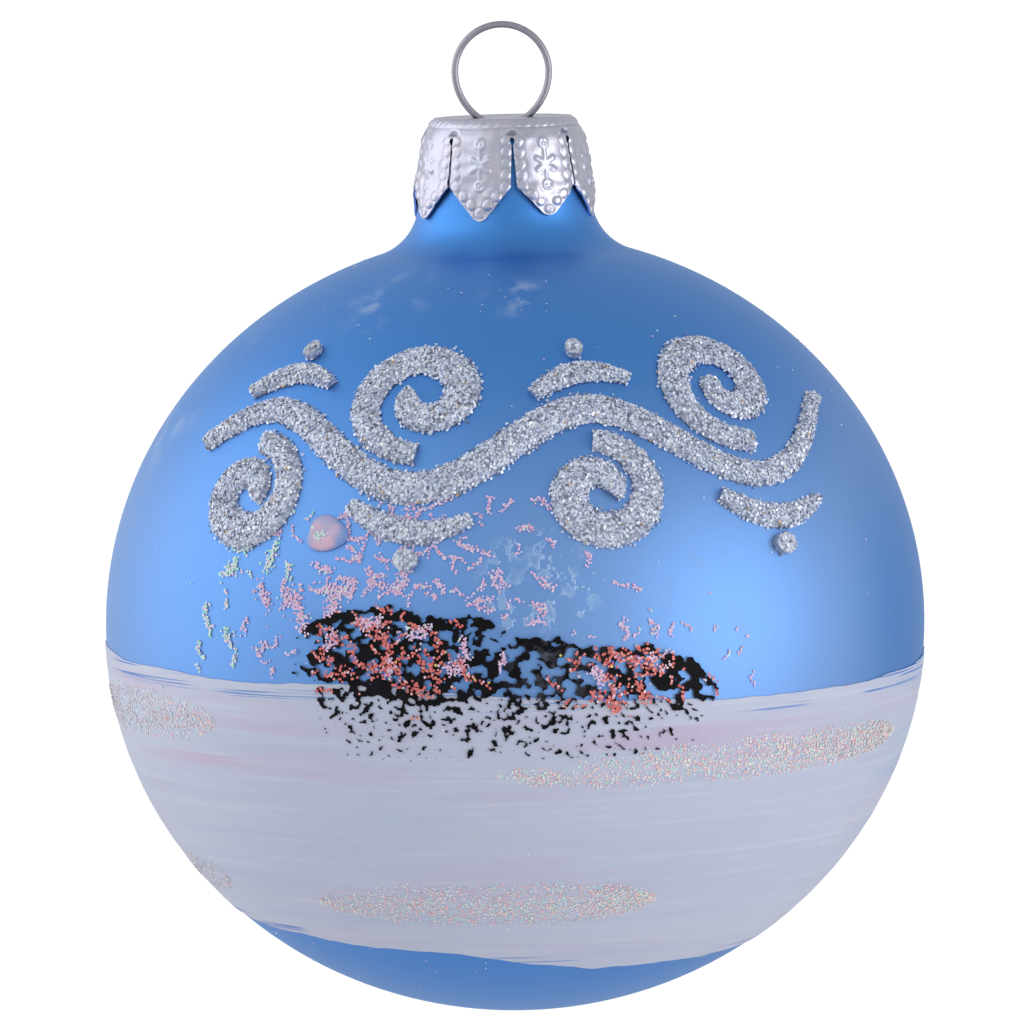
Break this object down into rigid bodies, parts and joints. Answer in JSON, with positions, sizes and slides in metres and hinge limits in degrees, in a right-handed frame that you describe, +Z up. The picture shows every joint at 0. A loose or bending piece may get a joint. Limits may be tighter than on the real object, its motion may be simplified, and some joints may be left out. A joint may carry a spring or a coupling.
{
  "type": "glass ball ornament",
  "caption": "Hand-painted blown glass ball with a stamped crown cap and a sprung wire hanger that pinches out of the neck.",
  "frame": {"origin": "inside top of the hanger's loop, where a hook's wire lies", "axes": "+Z up along the ball's and the hanger's axis, -Y towards the decorated front, +X to the viewer's right"},
  "size_m": [0.0801, 0.0805, 0.0967],
  "materials": {
    "hanger_wire": "drawn and tinned spring wire, dull bright",
    "cap_sheet": "thin stamped sheet, silvered, embossed with beads and a flower on each tab",
    "lacquered_glass": "blown glass, silvered inside, under a satin metallic blue lacquer",
    "snow_paint": "brushed lilac-white acrylic paint with visible strokes",
    "dark_paint": "dabbed black paint, broken at its edges",
    "silver_glitter": "silver glitter grains on a raised bead of glue",
    "rose_glitter": "scattered rose and red glitter",
    "pearl_glue": "milky pink drop of dried glue",
    "ice_glitter": "iridescent clear glitter that flashes pink and turquoise"
  },
  "bodies": {
    "hanger": {"hanger_loop": "hanger_wire"},
    "cap": {"crown_cap": "cap_sheet"},
    "ball": {"glass_ball": "lacquered_glass", "snow_band": "snow_paint", "dark_paint": "dark_paint", "glitter_scroll": "silver_glitter", "rose_glitter": "rose_glitter", "pearl_drop": "pearl_glue", "glitter_streak_left": "ice_glitter", "glitter_streak_right": "ice_glitter", "glitter_streak_low": "ice_glitter", "glitter_streak_corner": "ice_glitter"},
    "left_leg": {"left_leg": "hanger_wire"},
    "right_leg": {"right_leg": "hanger_wire"}
  },
  "joints": [
    {"name": "cap_tilt", "type": "hinge", "parent": "hanger", "child": "cap", "pos_m": [0, 0, -0.00875], "axis": [1, 0, 0], "range_deg": [-10, 10]},
    {"name": "ball_pull", "type": "slide", "parent": "cap", "child": "ball", "axis": [0, 0, -1], "range_m": [0, 0.02]},
    {"name": "left_leg_pinch", "type": "hinge", "parent": "hanger", "child": "left_leg", "pos_m": [-0.00254, 0, -0.00979], "axis": [0, 1, 0], "range_deg": [-31.2, 0]},
    {"name": "right_leg_pinch", "type": "hinge", "parent": "hanger", "child": "right_leg", "pos_m": [0.00254, 0, -0.00979], "axis": [0, 1, 0], "range_deg": [0, 31.2]}
  ],
  "couplings": [
    {"joint": "left_leg_pinch", "follows": "ball_pull", "rad_per_m": -27.05},
    {"joint": "right_leg_pinch", "follows": "ball_pull", "rad_per_m": 27.05}
  ]
}
